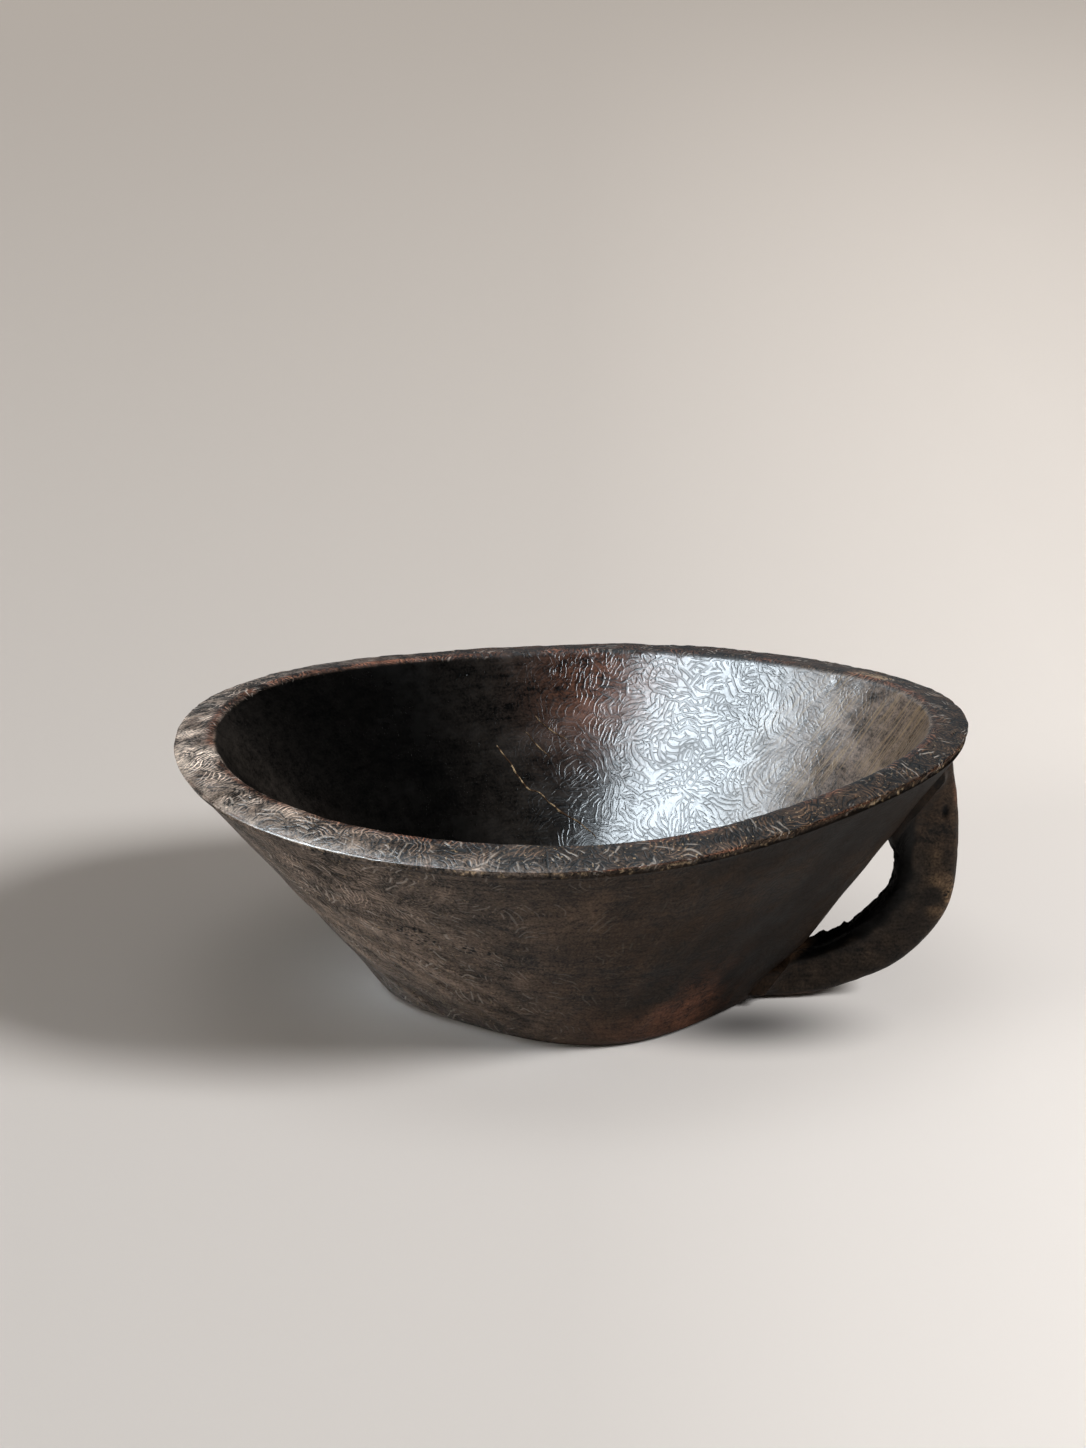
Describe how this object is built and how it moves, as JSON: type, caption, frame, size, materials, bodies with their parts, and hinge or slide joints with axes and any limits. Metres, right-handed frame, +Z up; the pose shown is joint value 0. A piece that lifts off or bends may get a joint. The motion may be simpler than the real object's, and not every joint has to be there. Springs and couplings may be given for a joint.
{
  "type": "handled wooden bowl",
  "caption": "Wide oval bowl carved from dark hardwood, with a broad sloping lip, a small foot and a thick loop handle that runs from under the lip to the foot.",
  "frame": {"origin": "on the ground below the middle of the bowl's bounding box", "axes": "+X towards the handle, along the bowl's longest way; +Z up, out of the bowl's mouth; +Y away from the side that the picture was taken from"},
  "size_m": [0.3573, 0.3166, 0.1265],
  "materials": {
    "bowl_wood": "satin, hand-cut, dark with age",
    "handle_wood": "dull, hand-cut, worn",
    "crack_filler": "matte, dry"
  },
  "bodies": {
    "root": {"bowl": "bowl_wood", "handle": "handle_wood", "crack_fill_long": "crack_filler", "crack_fill_lower": "crack_filler", "crack_fill_upper": "crack_filler"}
  },
  "joints": []
}
